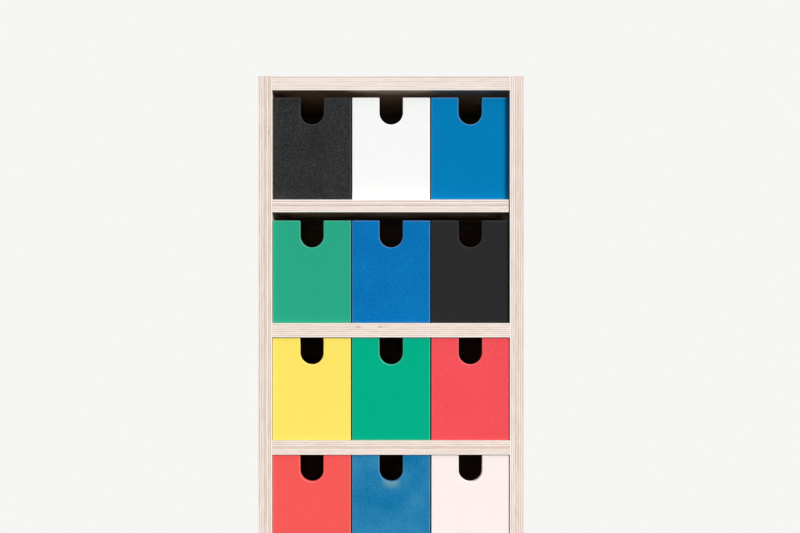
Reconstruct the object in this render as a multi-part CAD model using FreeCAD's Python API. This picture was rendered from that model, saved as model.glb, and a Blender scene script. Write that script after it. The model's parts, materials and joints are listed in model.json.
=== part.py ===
import FreeCAD, Part
import math
import os

# A plywood storage tower on castors. Three columns of small boxes slide on its shelves, and its
# sides and back are pegboards. Millimetres, +Z up, the front faces -Y, and the origin is on the
# floor under the middle of the tower.

# Carcass. The first shelf is of a thinner board that stops short of the right side.
WIDTH = 340.0
DEPTH = 340.0
PLY = 18.0
THIN_PLY = 16.0
THIN_SHELF_GAP = 1.5
EDGE_CHAMFER = 0.5

# Peg holes, on one grid for the sides and the back
PEG_HOLE = 16.0
PEG_PITCH = 75.0
PEG_TOP_INSET = 54.0
PEG_EDGE_MARGIN = 40.0
PEG_RIM_CHAMFER = 0.5

# Dowels in the butt joints
DOWEL = 8.0
DOWEL_LENGTH = 30.0
DOWEL_FIT = 0.1
DOWEL_END_ROOM = 1.0
DOWEL_SKIN = 5.0
DOWEL_CHAMFER = 0.8
SHELF_DOWEL_SPACING = 150.0
BACK_DOWEL_INSET = 36.5
BACK_DOWELS = 4
SCREW_TO_DOWEL = 10.0

# Boxes that slide on the shelves
BOX_HEIGHT = 131.0
TOP_BAY_ROOM = 8.7
SECOND_BAY_ROOM = 10.7
LOW_BAY_ROOM = 0.7
BOX_SIDE_GAP = 0.5
BOX_MIDDLE_GAP = 1.5
BOX_SLIP = 0.3
BOX_BACK_ROOM = 4.0
FRONT_BOARD = 12.0
SIDE_BOARD = 9.0
BASE_BOARD = 6.0
SIDE_DROP = 4.0
GLUE_LINE = 0.15
NOTCH_WIDTH = 30.0
NOTCH_DEPTH = 34.5
FRONT_ARRIS = 0.6
BOX_ARRIS = 0.4

# How far each row of boxes stands back from the front edge of the carcass
PUSHED_RECESS = 8.0
HALF_RECESS = 4.0
FLUSH_RECESS = 2.0

# Castors
CASTOR_INSET_X = 55.0
CASTOR_INSET_Y = 62.0
WHEEL = 50.0
TYRE_WIDTH = 19.0
TYRE_RUBBER = 4.9
TYRE_SHOULDER = 3.0
TYRE_BOND = 0.1
RIM_DEPTH = 5.0
RIM_LIP = 0.5
WEB = 5.0
HUB = 16.0
HUB_END_GAP = 1.0
AXLE = 6.0
TRAIL = 22.0
TYRE_SIDE_GAP = 2.5
WHEEL_TOP_GAP = 7.5
FORK_STEEL = 2.5
FORK_BEND = 3.0
FORK_BOSS = 18.0
FORK_HEEL = 15.0
FORK_SHOULDER = 6.0
CROWN = 36.0
BEARING = 34.0
BEARING_HEIGHT = 7.5
BEARING_STEP = 3.0
KING_PIN = 8.0
KING_PIN_HEAD = 14.0
KING_PIN_HEAD_HEIGHT = 2.5
PLATE = 60.0
PLATE_STEEL = 2.5
PLATE_CORNER = 4.0
PLATE_HOLE_SPACING = 46.0
PLATE_HOLE = 5.0
RUNNING_FIT = 0.05
PARTING_GAP = 0.1

# Axle bolt and nut
BOLT_FLATS = 10.0
BOLT_HEAD = 4.0
NUT_HEIGHT = 5.0
BOLT_TIP = 2.0

# Wood screws that hold the castor plates
SCREW = 4.0
SCREW_HEAD = 8.0
SCREW_HEAD_HEIGHT = 2.6
SCREW_HEAD_ROUND = 1.2
SCREW_SKIN = 4.0
SCREW_TIP = 3.0
SCREW_END_ROOM = 1.0
SCREW_SLOT_WIDTH = 1.0
SCREW_SLOT_LENGTH = 4.4
SCREW_SLOT_DEPTH = 1.4

# Brake pedals on the front castors
PEDAL_PIVOT = 5.0
PEDAL_PIVOT_ANGLE = 62.5
PEDAL_HUB = 9.0
PEDAL_SHOE = 6.0
PEDAL_SHOE_REACH = 7.4
PEDAL_SHOE_ROOM = 0.25
PEDAL_SHOE_WIDTH = 16.0
PEDAL_THICKNESS = 4.0
PEDAL_REACH = 21.0
PEDAL_PAD_LENGTH = 12.0
PEDAL_PAD_WIDTH = 34.0
PEDAL_PAD_CORNER = 3.0
PEDAL_EAR_RIM = 4.5
PEDAL_HUB_GAP = 1.0
PEDAL_RIB = 1.0
PEDAL_RIBS = 3

# Order of the cross boards, of the bays and of the boxes in them, from the top down and from left
# to right. The first cross board is the top and the last one is the bottom.
CROSS_PLIES = (PLY, THIN_PLY, PLY, PLY, PLY, PLY)
CROSS_END_GAPS = (0.0, THIN_SHELF_GAP, 0.0, 0.0, 0.0, 0.0)
BAY_ROOMS = (TOP_BAY_ROOM, SECOND_BAY_ROOM, LOW_BAY_ROOM, LOW_BAY_ROOM, LOW_BAY_ROOM)
RECESSES = (PUSHED_RECESS, HALF_RECESS, FLUSH_RECESS, FLUSH_RECESS, FLUSH_RECESS)
COLUMNS = ("left", "middle", "right")

# Heights and spaces that follow from the sizes above
fork_gap = TYRE_WIDTH + 2 * TYRE_SIDE_GAP
fork_width = fork_gap + 2 * FORK_STEEL
axle_height = WHEEL / 2
crown_underside = WHEEL + WHEEL_TOP_GAP
crown_top = crown_underside + FORK_STEEL
plate_underside = crown_top + BEARING_HEIGHT
carcass_bottom = plate_underside + PLATE_STEEL
bays = [BOX_SLIP + BOX_HEIGHT + room for room in BAY_ROOMS]
carcass_top = carcass_bottom + sum(bays) + sum(CROSS_PLIES)
inner_half = WIDTH / 2 - PLY
front_plane = -DEPTH / 2
back_plane = DEPTH / 2
back_board_front = back_plane - PLY
inner_depth = back_board_front - front_plane
box_pitch = (2 * (inner_half - BOX_SIDE_GAP) + BOX_MIDDLE_GAP) / len(COLUMNS)
box_width = box_pitch - BOX_MIDDLE_GAP
box_depth = inner_depth - max(RECESSES) - BOX_BACK_ROOM
dowel_in_side = PLY - DOWEL_SKIN - DOWEL_END_ROOM
dowel_in_end = DOWEL_LENGTH - dowel_in_side
screw_length = PLATE_STEEL + PLY - SCREW_SKIN

X_AXIS = FreeCAD.Vector(1, 0, 0)
Y_AXIS = FreeCAD.Vector(0, 1, 0)
Z_AXIS = FreeCAD.Vector(0, 0, 1)
ORIGIN = FreeCAD.Vector(0, 0, 0)


def vector(x, y, z):
    return FreeCAD.Vector(x, y, z)


def block(low, high):
    """A plain box between two corners."""
    size = high - low
    return Part.makeBox(size.x, size.y, size.z, low)


def board(low, high, chamfer):
    """A board between two corners, with every edge lightly broken."""
    plain = block(low, high)
    return plain.makeChamfer(chamfer, plain.Edges)


def rod(diameter, start, direction, length):
    return Part.makeCylinder(diameter / 2, length, start, direction)


def turned(outline, centre, axis):
    """A solid of revolution from a closed list of points, turned about an axis."""
    face = Part.Face(Part.makePolygon(outline + [outline[0]]))
    return face.revolve(centre, axis, 360)


def centred_row(span, margin, pitch):
    """Places along a line, a pitch apart and centred, that keep a margin from both ends."""
    steps = math.floor((span - 2 * margin) / pitch)
    return [(i - steps / 2) * pitch for i in range(steps + 1)]


def cross_undersides():
    """Heights of the undersides of the top, the shelves and the bottom, from the top down."""
    heights = [carcass_top - CROSS_PLIES[0]]
    for bay, ply in zip(bays, CROSS_PLIES[1:]):
        heights.append(heights[-1] - bay - ply)
    return heights


def peg_heights():
    """Heights of the rows of peg holes, counted down from the top edge."""
    room = carcass_top - carcass_bottom - PEG_TOP_INSET - PEG_EDGE_MARGIN
    rows = math.floor(room / PEG_PITCH) + 1
    return [carcass_top - PEG_TOP_INSET - row * PEG_PITCH for row in range(rows)]


def peg_hole(face_point, direction):
    """The drill for one peg hole through a board, which also breaks both of its rims."""
    radius = PEG_HOLE / 2
    wide = radius + PEG_RIM_CHAMFER
    far_face = face_point + direction * PLY
    hole = Part.makeCylinder(radius, PLY, face_point, direction)
    near_rim = Part.makeCone(wide, radius, PEG_RIM_CHAMFER, face_point, direction)
    far_rim = Part.makeCone(wide, radius, PEG_RIM_CHAMFER, far_face, -direction)
    return hole.fuse([near_rim, far_rim])


def cross_dowel_depths(level):
    """Where the two dowels in each end of a cross board lie. The bottom's keep off the castor screws."""
    half = SHELF_DOWEL_SPACING / 2
    if level == len(bays):
        half = DEPTH / 2 - CASTOR_INSET_Y - PLATE_HOLE_SPACING / 2 - SCREW_TO_DOWEL
    return (-half, half)


def side_dowel_places():
    """Depth and height of each dowel that enters a side board: two to a shelf, then the back's."""
    places = []
    for level, underside in enumerate(cross_undersides()):
        for y in cross_dowel_depths(level):
            places.append((y, underside + CROSS_PLIES[level] / 2))
    lowest = carcass_bottom + CROSS_PLIES[-1] + BACK_DOWEL_INSET
    highest = carcass_top - CROSS_PLIES[0] - BACK_DOWEL_INSET
    for i in range(BACK_DOWELS):
        z = lowest + i * (highest - lowest) / (BACK_DOWELS - 1)
        places.append((back_plane - PLY / 2, z))
    return places


def dowel_hole(x, y, z, direction, depth):
    """The drill for one dowel hole, with room for glue past the dowel's end."""
    return rod(DOWEL + 2 * DOWEL_FIT, vector(x, y, z), X_AXIS * direction, depth + DOWEL_END_ROOM)


def side_pegboard(side):
    """A full-height side board: peg holes right through, blind dowel holes on the inner face."""
    outer = side * WIDTH / 2
    inner = side * inner_half
    low = vector(min(outer, inner), front_plane, carcass_bottom)
    high = vector(max(outer, inner), back_plane, carcass_top)
    drills = []
    for y in centred_row(DEPTH, PEG_EDGE_MARGIN, PEG_PITCH):
        for z in peg_heights():
            drills.append(peg_hole(vector(inner, y, z), X_AXIS * side))
    for y, z in side_dowel_places():
        drills.append(dowel_hole(inner, y, z, side, dowel_in_side))
    return board(low, high, EDGE_CHAMFER).cut(drills)


def end_dowel_holes(y, z):
    """The drills for one pair of dowels, in the left and right ends of a board."""
    return [dowel_hole(side * inner_half, y, z, -side, dowel_in_end) for side in (-1, 1)]


def back_pegboard():
    """The back board, held between the sides, the top and the bottom."""
    undersides = cross_undersides()
    low = vector(-inner_half, back_board_front, undersides[-1] + CROSS_PLIES[-1])
    high = vector(inner_half, back_plane, undersides[0])
    drills = []
    for x in centred_row(WIDTH, PEG_EDGE_MARGIN, PEG_PITCH):
        for z in peg_heights():
            drills.append(peg_hole(vector(x, back_board_front, z), Y_AXIS))
    for y, z in side_dowel_places():
        if y > back_board_front:
            drills += end_dowel_holes(y, z)
    return board(low, high, EDGE_CHAMFER).cut(drills)


def cross_board(level, rear):
    """A top, shelf or bottom between the sides, with two dowels in each end."""
    underside = cross_undersides()[level]
    ply = CROSS_PLIES[level]
    low = vector(-inner_half, front_plane, underside)
    high = vector(inner_half - CROSS_END_GAPS[level], rear, underside + ply)
    drills = []
    for y in cross_dowel_depths(level):
        drills += end_dowel_holes(y, underside + ply / 2)
    return board(low, high, EDGE_CHAMFER).cut(drills)


def bottom_board():
    """The bottom board, with a pilot hole for each castor screw."""
    depth = screw_length - PLATE_STEEL + SCREW_END_ROOM
    pilots = []
    for place in castor_places():
        for x, y in plate_hole_places():
            start = vector(place.x + x, place.y + y, carcass_bottom)
            pilots.append(rod(SCREW + 2 * PARTING_GAP, start, Z_AXIS, depth))
    return cross_board(len(bays), back_plane).cut(pilots)


def panel_dowels():
    """Every dowel of the carcass, at both ends of the cross boards and of the back."""
    dowels = []
    for side in (-1, 1):
        for y, z in side_dowel_places():
            start = vector(side * (inner_half + dowel_in_side), y, z)
            pin = rod(DOWEL, start, X_AXIS * -side, DOWEL_LENGTH)
            ends = [edge for edge in pin.Edges if edge.Closed]
            dowels.append(pin.makeChamfer(DOWEL_CHAMFER, ends))
    return Part.makeCompound(dowels)


def front_outline():
    """The front's outline at the origin, with the round-bottomed finger notch in its top edge."""
    half = box_width / 2
    notch = NOTCH_WIDTH / 2
    notch_bottom = BOX_HEIGHT - NOTCH_DEPTH
    arc_height = notch_bottom + notch
    right_rim = vector(notch, 0, BOX_HEIGHT)
    left_rim = vector(-notch, 0, BOX_HEIGHT)
    right_arc = vector(notch, 0, arc_height)
    left_arc = vector(-notch, 0, arc_height)
    left_corners = [vector(-half, 0, BOX_HEIGHT), vector(-half, 0, 0)]
    right_corners = [vector(half, 0, 0), vector(half, 0, BOX_HEIGHT)]
    corners = [left_arc, left_rim] + left_corners + right_corners + [right_rim, right_arc]
    edges = [Part.LineSegment(a, b).toShape() for a, b in zip(corners, corners[1:])]
    edges.append(Part.Arc(right_arc, vector(0, 0, notch_bottom), left_arc).toShape())
    return Part.Wire(edges)


def box_place(row, column):
    """Where a box's front lower edge sits: its middle in X, its face in Y and its underside in Z."""
    x = -inner_half + BOX_SIDE_GAP + box_width / 2 + column * box_pitch
    shelf_top = cross_undersides()[row + 1] + CROSS_PLIES[row + 1]
    return vector(x, front_plane + RECESSES[row], shelf_top + BOX_SLIP)


def box_front(row, column):
    """The thick coloured front, with a broken arris round its face."""
    plain = Part.Face(front_outline()).extrude(Y_AXIS * FRONT_BOARD)
    face_edges = [edge for edge in plain.Edges if edge.BoundBox.YMax < FRONT_ARRIS]
    front = plain.makeChamfer(FRONT_ARRIS, face_edges)
    front.translate(box_place(row, column))
    return front


def box_carcass(row, column):
    """The box behind a front: two sides, a back between them and a base inside all of them."""
    half = box_width / 2
    inner = half - SIDE_BOARD
    start = FRONT_BOARD + GLUE_LINE
    side_top = BOX_HEIGHT - SIDE_DROP
    back_front = box_depth - SIDE_BOARD
    fitted = inner - GLUE_LINE
    corners = (
        (vector(-half, start, 0), vector(-inner, box_depth, side_top)),
        (vector(inner, start, 0), vector(half, box_depth, side_top)),
        (vector(-fitted, back_front, 0), vector(fitted, box_depth, side_top)),
        (vector(-fitted, start, 0), vector(fitted, back_front - GLUE_LINE, BASE_BOARD)),
    )
    boards = Part.makeCompound([board(low, high, BOX_ARRIS) for low, high in corners])
    boards.translate(box_place(row, column))
    return boards


def castor_places():
    """The swivel axes on the floor: front left, front right, rear left, rear right."""
    x = WIDTH / 2 - CASTOR_INSET_X
    y = DEPTH / 2 - CASTOR_INSET_Y
    return [vector(-x, -y, 0), vector(x, -y, 0), vector(-x, y, 0), vector(x, y, 0)]


def plate_hole_places():
    """The four screw holes of a castor plate, from its middle."""
    reach = PLATE_HOLE_SPACING / 2
    return [(x, y) for x in (-reach, reach) for y in (-reach, reach)]


def plate_with_king_pin():
    """A castor's top plate with the king pin riveted to it."""
    half = PLATE / 2
    plain = block(vector(-half, -half, plate_underside), vector(half, half, carcass_bottom))
    uprights = [edge for edge in plain.Edges if edge.BoundBox.ZLength > PLATE_STEEL / 2]
    plate = plain.makeFillet(PLATE_CORNER, uprights)
    for x, y in plate_hole_places():
        plate = plate.cut(rod(PLATE_HOLE, vector(x, y, plate_underside), Z_AXIS, PLATE_STEEL))
    head_top = crown_underside - PARTING_GAP
    head_bottom = head_top - KING_PIN_HEAD_HEIGHT
    pin = rod(KING_PIN, vector(0, 0, head_bottom), Z_AXIS, plate_underside - head_bottom)
    head = rod(KING_PIN_HEAD, vector(0, 0, head_bottom), Z_AXIS, KING_PIN_HEAD_HEIGHT)
    return plate.fuse([pin, head]).removeSplitter()


def bearing_ring():
    """The stepped race between a castor's plate and its fork."""
    low = crown_top + PARTING_GAP
    high = plate_underside - PARTING_GAP
    step = (low + high) / 2
    bore = KING_PIN / 2 + PARTING_GAP
    wide = BEARING / 2
    narrow = wide - BEARING_STEP
    outline = [
        vector(bore, 0, low),
        vector(wide, 0, low),
        vector(wide, 0, step),
        vector(narrow, 0, high),
        vector(bore, 0, high),
    ]
    return turned(outline, ORIGIN, Z_AXIS)


def castor_plates():
    """The four plates and their bearing rings."""
    pieces = []
    for place in castor_places():
        for piece in (plate_with_king_pin(), bearing_ring()):
            piece.translate(place)
            pieces.append(piece)
    return Part.makeCompound(pieces)


def wood_screw():
    """A pan-head screw that points up, with its seat at height zero and a cross slot below."""
    shank_end = screw_length - SCREW_TIP
    shank = rod(SCREW, ORIGIN, Z_AXIS, shank_end)
    tip = Part.makeCone(SCREW / 2, 0, SCREW_TIP, vector(0, 0, shank_end), Z_AXIS)
    head = rod(SCREW_HEAD, vector(0, 0, -SCREW_HEAD_HEIGHT), Z_AXIS, SCREW_HEAD_HEIGHT)
    rim = [edge for edge in head.Edges if edge.Closed and edge.BoundBox.ZMax < -SCREW_HEAD_ROUND]
    screw = head.makeFillet(SCREW_HEAD_ROUND, rim).fuse([shank, tip]).removeSplitter()
    reach = SCREW_SLOT_LENGTH / 2
    half = SCREW_SLOT_WIDTH / 2
    slot_top = SCREW_SLOT_DEPTH - SCREW_HEAD_HEIGHT
    slot_floor = -SCREW_HEAD_HEIGHT - PARTING_GAP
    along = block(vector(-reach, -half, slot_floor), vector(reach, half, slot_top))
    across = block(vector(-half, -reach, slot_floor), vector(half, reach, slot_top))
    return screw.cut([along, across])


def castor_screws():
    """Four screws up through each castor plate."""
    screws = []
    for place in castor_places():
        for x, y in plate_hole_places():
            screw = wood_screw()
            screw.translate(place + vector(x, y, plate_underside))
            screws.append(screw)
    return Part.makeCompound(screws)


def pedal_pivot():
    """The brake pivot, on a line up and back from the wheel's centre and clear of the tyre."""
    angle = math.radians(PEDAL_PIVOT_ANGLE)
    reach = WHEEL / 2 + PEDAL_SHOE_REACH + PEDAL_SHOE_ROOM
    return vector(0, TRAIL + reach * math.cos(angle), axle_height + reach * math.sin(angle))


def ear_end():
    """How far back the fork's ears run, past the brake pivot."""
    return pedal_pivot().y + PEDAL_PIVOT / 2 + PEDAL_EAR_RIM


def tangent_point(point, centre, radius, turn):
    """Where a line from a point touches a circle, seen along X. Turn picks one of the two sides."""
    dy = point.y - centre.y
    dz = point.z - centre.z
    spread = math.acos(radius / math.hypot(dy, dz))
    angle = math.atan2(dz, dy) + turn * spread
    return centre + vector(0, radius * math.cos(angle), radius * math.sin(angle))


def fork_leg_outline():
    """A leg's outline seen along X: wide at the crown, tapering to the round axle boss."""
    axle = vector(0, TRAIL, axle_height)
    boss = FORK_BOSS / 2
    heel_top = vector(0, -FORK_HEEL, crown_top)
    heel = vector(0, -FORK_HEEL, crown_top - FORK_SHOULDER)
    ear_top = vector(0, ear_end(), crown_top)
    ear = vector(0, ear_end(), pedal_pivot().z - PEDAL_PIVOT / 2 - PEDAL_EAR_RIM)
    rear_touch = tangent_point(ear, axle, boss, -1)
    front_touch = tangent_point(heel, axle, boss, 1)
    corners = [front_touch, heel, heel_top, ear_top, ear, rear_touch]
    edges = [Part.LineSegment(a, b).toShape() for a, b in zip(corners, corners[1:])]
    lowest = axle - Z_AXIS * boss
    edges.append(Part.Arc(rear_touch, lowest, front_touch).toShape())
    return Part.Wire(edges)


def fork(braked):
    """The pressed steel fork: a channel cut to the leg outline, under a round crown."""
    half = fork_width / 2
    gap = fork_gap / 2
    foot = axle_height - FORK_BOSS / 2
    sheet = block(vector(-half, -FORK_HEEL, foot), vector(half, ear_end(), crown_top))
    bends = [e for e in sheet.Edges if e.BoundBox.YLength > FORK_HEEL and e.BoundBox.ZMin > foot]
    channel = sheet.makeFillet(FORK_BEND, bends)
    channel = channel.cut(block(vector(-gap, -FORK_HEEL, foot), vector(gap, ear_end(), crown_underside)))
    profile = Part.Face(fork_leg_outline()).extrude(X_AXIS * fork_width)
    profile.translate(X_AXIS * -half)
    legs = channel.common(profile)
    crown = rod(CROWN, vector(0, 0, crown_underside), Z_AXIS, FORK_STEEL)
    pedal_slot = block(vector(-gap, CROWN / 2, crown_underside), vector(gap, ear_end(), crown_top))
    body = legs.cut(pedal_slot).fuse(crown).removeSplitter()
    king_hole = rod(KING_PIN + 2 * RUNNING_FIT, vector(0, 0, crown_underside), Z_AXIS, FORK_STEEL)
    axle_hole = rod(AXLE + 2 * PARTING_GAP, vector(-half, TRAIL, axle_height), X_AXIS, fork_width)
    body = body.cut([king_hole, axle_hole])
    if braked:
        start = pedal_pivot() - X_AXIS * half
        body = body.cut(rod(PEDAL_PIVOT + 2 * RUNNING_FIT, start, X_AXIS, fork_width))
    return body


def hexagon(flats, start, direction, height):
    """A hexagonal prism along X, with a flat uppermost."""
    corner = flats / 2 / math.cos(math.pi / 6)
    points = []
    for degrees in range(0, 360, 60):
        angle = math.radians(degrees)
        points.append(start + vector(0, corner * math.cos(angle), corner * math.sin(angle)))
    outline = Part.makePolygon(points + [points[0]])
    return Part.Face(outline).extrude(X_AXIS * direction * height)


def axle(outer):
    """The axle bolt, with its head on the outer side, and its nut on the inner side."""
    half = fork_width / 2
    centre = vector(0, TRAIL, axle_height)
    head = hexagon(BOLT_FLATS, centre + X_AXIS * outer * half, outer, BOLT_HEAD)
    shank_length = fork_width + NUT_HEIGHT + BOLT_TIP
    shank = rod(AXLE, centre + X_AXIS * outer * half, X_AXIS * -outer, shank_length)
    nut_face = centre - X_AXIS * outer * half
    nut = hexagon(BOLT_FLATS, nut_face, -outer, NUT_HEIGHT)
    thread = rod(AXLE + 2 * PARTING_GAP, nut_face, X_AXIS * -outer, NUT_HEIGHT)
    return Part.makeCompound([head.fuse(shank).removeSplitter(), nut.cut(thread)])


def wheel():
    """The moulded wheel: a hub that runs on the axle, a thin web and a rim for the tyre."""
    centre = vector(0, TRAIL, axle_height)
    bore = AXLE / 2 + RUNNING_FIT
    hub = HUB / 2
    hub_end = fork_gap / 2 - HUB_END_GAP
    web = WEB / 2
    rim = WHEEL / 2 - TYRE_RUBBER - TYRE_BOND
    rim_inside = rim - RIM_DEPTH
    rim_edge = TYRE_WIDTH / 2 - RIM_LIP
    half = [(hub_end, bore), (hub_end, hub), (web, hub), (web, rim_inside), (rim_edge, rim_inside)]
    half.append((rim_edge, rim))
    mirrored = [(-x, r) for x, r in reversed(half)]
    outline = [centre + vector(x, 0, r) for x, r in half + mirrored]
    return turned(outline, centre, X_AXIS)


def tyre():
    """The rubber tread, bonded round the rim, with rounded shoulders."""
    centre = vector(0, TRAIL, axle_height)
    start = centre - X_AXIS * TYRE_WIDTH / 2
    band = rod(WHEEL, start, X_AXIS, TYRE_WIDTH)
    rims = [edge for edge in band.Edges if edge.Closed]
    rounded = band.makeFillet(TYRE_SHOULDER, rims)
    return rounded.cut(rod(WHEEL - 2 * TYRE_RUBBER, start, X_AXIS, TYRE_WIDTH))


def brake_pedal():
    """The pedal: trunnions in the fork's ears, a shoe over the tyre and a ribbed foot pad."""
    pivot = pedal_pivot()
    inside = fork_gap / 2 - PEDAL_HUB_GAP
    trunnion = rod(PEDAL_PIVOT, pivot - X_AXIS * fork_width / 2, X_AXIS, fork_width)
    hub = rod(PEDAL_HUB, pivot - X_AXIS * inside, X_AXIS, 2 * inside)
    shoe_half = PEDAL_SHOE_WIDTH / 2
    shoe_drop = PEDAL_SHOE_REACH - PEDAL_SHOE / 2
    shoe_centre = pivot - Z_AXIS * shoe_drop
    shoe = rod(PEDAL_SHOE, shoe_centre - X_AXIS * shoe_half, X_AXIS, PEDAL_SHOE_WIDTH)
    neck_low = shoe_centre + vector(-shoe_half, -PEDAL_SHOE / 2, 0)
    neck = block(neck_low, pivot + vector(shoe_half, PEDAL_SHOE / 2, 0))
    lever_top = pivot + vector(inside, PEDAL_REACH, PEDAL_HUB / 2)
    lever = block(pivot + vector(-inside, 0, PEDAL_HUB / 2 - PEDAL_THICKNESS), lever_top)
    pad_half = PEDAL_PAD_WIDTH / 2
    pad_low = pivot + vector(-pad_half, PEDAL_REACH - PEDAL_PAD_LENGTH, PEDAL_HUB / 2 - PEDAL_THICKNESS)
    plain_pad = block(pad_low, pivot + vector(pad_half, PEDAL_REACH, PEDAL_HUB / 2))
    corners = [edge for edge in plain_pad.Edges if edge.BoundBox.ZLength > PEDAL_THICKNESS / 2]
    pad = plain_pad.makeFillet(PEDAL_PAD_CORNER, corners)
    pieces = [hub, shoe, neck, lever, pad]
    rib_pitch = PEDAL_PAD_LENGTH / (PEDAL_RIBS + 1)
    for i in range(PEDAL_RIBS):
        y = PEDAL_REACH - PEDAL_PAD_LENGTH + (i + 1) * rib_pitch
        low = pivot + vector(-pad_half + PEDAL_PAD_CORNER, y - PEDAL_RIB / 2, PEDAL_HUB / 2)
        high = low + vector(PEDAL_PAD_WIDTH - 2 * PEDAL_PAD_CORNER, PEDAL_RIB, PEDAL_RIB)
        pieces.append(block(low, high))
    return trunnion.fuse(pieces).removeSplitter()


def castor_nodes():
    """The moving pieces of each castor. The front pair trail forwards and carry the brakes."""
    nodes = {}
    names = ("front_left", "front_right", "rear_left", "rear_right")
    for name, place in zip(names, castor_places()):
        front = place.y < 0
        outer = math.copysign(1, place.x) * (-1 if front else 1)
        pieces = {"fork": fork(front), "axle": axle(outer), "wheel": wheel(), "tyre": tyre()}
        if front:
            pieces["brake_pedal"] = brake_pedal()
        for piece, shape in pieces.items():
            if front:
                shape.rotate(ORIGIN, Z_AXIS, 180)
            shape.translate(place)
            nodes[f"castor_{name}_{piece}"] = shape
    return nodes


def carcass_nodes():
    """The boards that make the tower's case, and what joins them."""
    nodes = {
        "left_side_pegboard": side_pegboard(-1),
        "right_side_pegboard": side_pegboard(1),
        "back_pegboard": back_pegboard(),
        "top_panel": cross_board(0, back_plane),
        "bottom_panel": bottom_board(),
        "panel_dowels": panel_dowels(),
        "castor_plates": castor_plates(),
        "castor_screws": castor_screws(),
    }
    for level in range(1, len(bays)):
        nodes[f"shelf_{level}"] = cross_board(level, back_board_front)
    return nodes


def box_nodes():
    """A coloured front and the plywood box behind it, for each place in the tower."""
    nodes = {}
    for row in range(len(bays)):
        for column, name in enumerate(COLUMNS):
            nodes[f"drawer_{row + 1}_{name}_front"] = box_front(row, column)
            nodes[f"drawer_{row + 1}_{name}_box"] = box_carcass(row, column)
    return nodes


os.makedirs("parts", exist_ok=True)
for node, shape in {**carcass_nodes(), **box_nodes(), **castor_nodes()}.items():
    shape.exportStep(f"parts/{node}.step")
    print(f"{node}: {len(shape.Solids)} solid(s), {shape.Volume / 1000:.1f} cm3, valid {shape.isValid()}")
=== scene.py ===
# %% [markdown]
# # A plywood storage tower, finished in Blender
# The tower is a case of birch plywood on four castors, and fifteen small coloured boxes slide on
# its shelves. The CAD model already holds every size, place and joint. This notebook loads it as a
# fixed frame, models the pieces that need softer edges than a CAD mesh has, and gives each surface
# the finish of the real material.

# %% Load the CAD model as a fixed frame
import json
import math

import bpy
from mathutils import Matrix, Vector


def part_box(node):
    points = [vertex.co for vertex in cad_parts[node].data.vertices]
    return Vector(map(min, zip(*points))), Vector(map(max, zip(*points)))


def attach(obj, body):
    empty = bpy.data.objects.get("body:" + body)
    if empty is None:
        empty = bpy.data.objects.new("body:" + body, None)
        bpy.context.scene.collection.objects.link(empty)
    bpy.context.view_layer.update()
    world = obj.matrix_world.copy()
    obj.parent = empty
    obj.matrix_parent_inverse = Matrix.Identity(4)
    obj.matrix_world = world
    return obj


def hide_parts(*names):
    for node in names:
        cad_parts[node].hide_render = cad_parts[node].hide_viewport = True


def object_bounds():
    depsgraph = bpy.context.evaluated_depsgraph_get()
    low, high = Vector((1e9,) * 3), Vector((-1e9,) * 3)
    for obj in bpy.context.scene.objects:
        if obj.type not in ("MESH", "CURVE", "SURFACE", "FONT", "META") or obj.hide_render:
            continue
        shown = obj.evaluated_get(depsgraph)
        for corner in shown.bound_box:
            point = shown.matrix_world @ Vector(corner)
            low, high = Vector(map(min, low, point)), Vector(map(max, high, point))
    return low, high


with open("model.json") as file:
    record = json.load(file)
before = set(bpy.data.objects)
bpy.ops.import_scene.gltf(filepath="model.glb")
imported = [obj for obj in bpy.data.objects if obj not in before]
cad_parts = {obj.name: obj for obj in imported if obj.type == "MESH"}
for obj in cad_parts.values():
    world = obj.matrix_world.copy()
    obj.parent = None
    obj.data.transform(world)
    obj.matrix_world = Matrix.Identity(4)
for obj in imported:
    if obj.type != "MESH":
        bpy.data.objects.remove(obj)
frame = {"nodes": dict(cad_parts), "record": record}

CAD_LOW, CAD_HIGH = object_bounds()
MM = 0.001
print("CAD box in mm:", [round(side / MM, 1) for side in CAD_HIGH - CAD_LOW])

# %% [markdown]
# ## Camera
# The photograph looks straight and level at the fronts. Two facts are then enough to place the
# camera: how many pixels wide the tower is, and where its top edge lies in the picture. A distance
# of 1.8 m gives the mild perspective that a product picture has. The camera is not tilted or
# shifted, so upright edges stay upright.

# %% Camera
PHOTO_WIDTH_PX = 800
PHOTO_HEIGHT_PX = 533
TOWER_LEFT_PX = 258
TOWER_RIGHT_PX = 524
TOWER_TOP_PX = 76
CAMERA_DISTANCE = 1.8
SENSOR_MM = 36.0
QUARTER_TURN = math.radians(90)

metres_per_px = (CAD_HIGH.x - CAD_LOW.x) / (TOWER_RIGHT_PX - TOWER_LEFT_PX)
px_across = PHOTO_WIDTH_PX / 2 - (TOWER_LEFT_PX + TOWER_RIGHT_PX) / 2
px_down = PHOTO_HEIGHT_PX / 2 - TOWER_TOP_PX
eye = Vector((
    px_across * metres_per_px,
    CAD_LOW.y - CAMERA_DISTANCE,
    CAD_HIGH.z - px_down * metres_per_px,
))
bpy.ops.object.camera_add(location=eye, rotation=(QUARTER_TURN, 0, 0))
camera = bpy.context.object
camera.data.sensor_width = SENSOR_MM
camera.data.lens = SENSOR_MM * CAMERA_DISTANCE / (PHOTO_WIDTH_PX * metres_per_px)
bpy.context.scene.camera = camera
print("camera at", [round(v, 4) for v in eye], "lens", round(camera.data.lens, 2), "mm")

# %% [markdown]
# ## Small helpers
# Colours are easiest to write as the 0 to 255 values that a screen shows, while Blender's sockets
# want linear light, so `paint` converts them. `add` puts one node in a material and fills its
# sockets, with a number or with a link, which keeps a node tree readable as a list of steps. The
# others are the steps that every finish here is made of: a sum, a blend, a range and a noise.

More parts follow.
